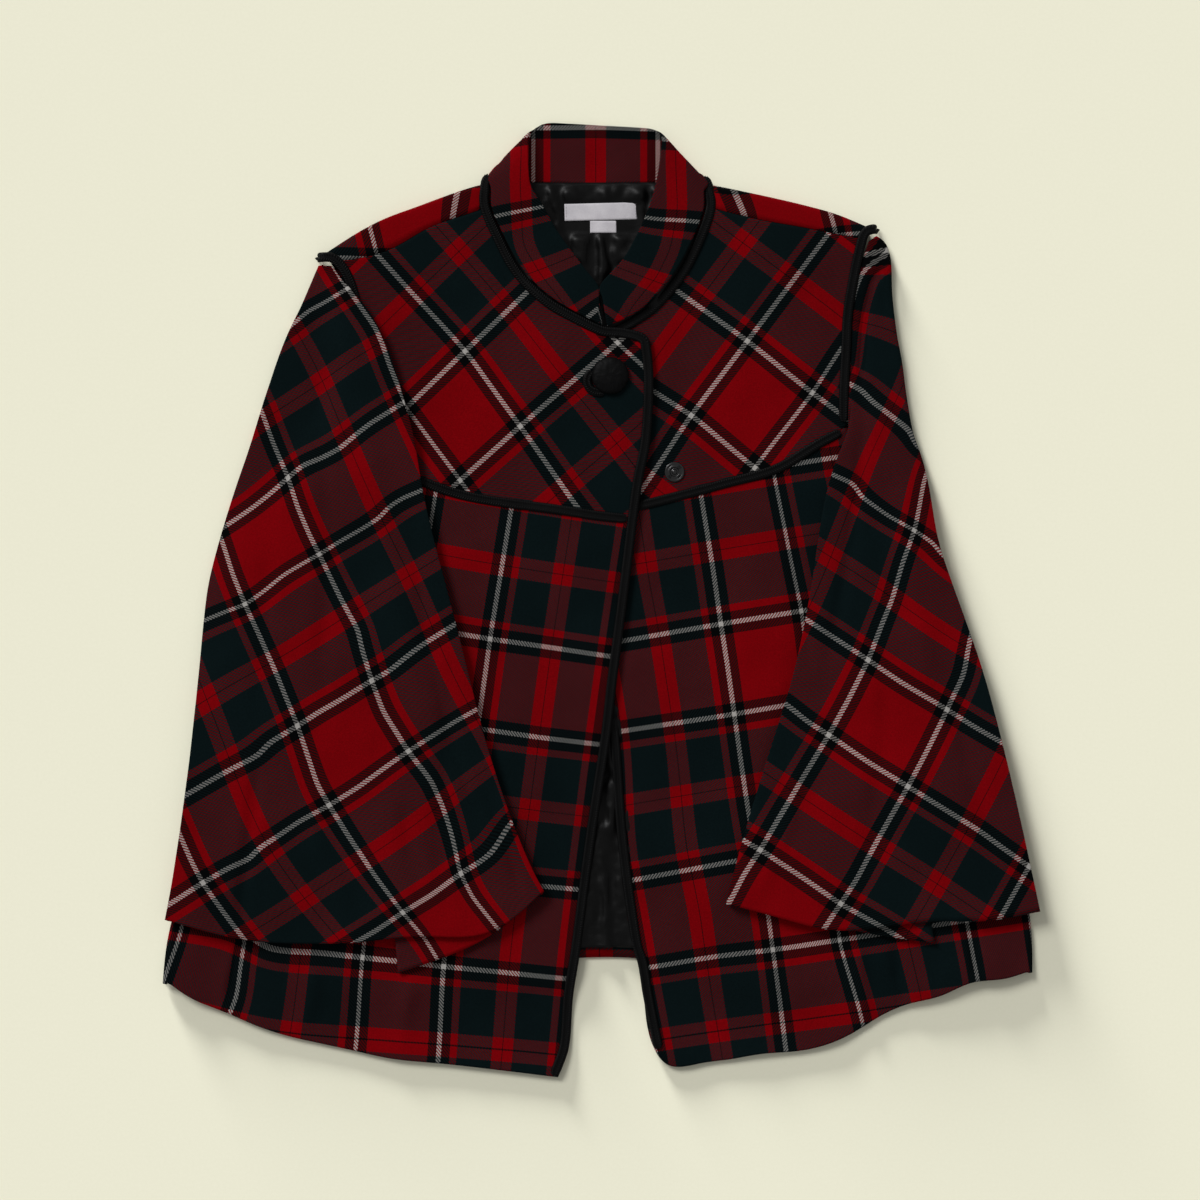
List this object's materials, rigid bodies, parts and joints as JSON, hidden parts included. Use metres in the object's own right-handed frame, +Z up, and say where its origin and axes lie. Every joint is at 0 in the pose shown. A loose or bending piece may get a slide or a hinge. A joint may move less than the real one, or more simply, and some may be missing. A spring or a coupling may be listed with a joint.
{
  "type": "wool cape",
  "caption": "Cape-style wool swing jacket with bell sleeves and a band collar, tartan with black braid, lying flat and front up.",
  "frame": {"origin": "on the table, under the middle of the garment's box", "axes": "+Z up from the table, +Y from the hem to the collar, +X to the wearer's left"},
  "size_m": [0.7004, 0.764, 0.019],
  "materials": {
    "wool": "brushed wool coating, tartan in red, dark green, black and white",
    "satin": "black satin lining",
    "braid": "black ribbed braid",
    "button": "black cloth-covered button",
    "snap": "black glossy snap half",
    "label": "white woven ribbon"
  },
  "bodies": {
    "root": {"back": "wool", "back_lining": "satin", "yoke_right": "wool", "yoke_left": "wool", "front_right": "wool", "front_left": "wool", "sleeve_right": "wool", "sleeve_left": "wool", "collar": "wool", "braid_front_right": "braid", "braid_front_left": "braid", "braid_yoke_right": "braid", "braid_yoke_left": "braid", "braid_armhole_right": "braid", "braid_armhole_left": "braid", "button": "button", "snap": "snap", "buttonhole_binding": "braid", "label": "label", "size_tag": "label"}
  },
  "joints": []
}
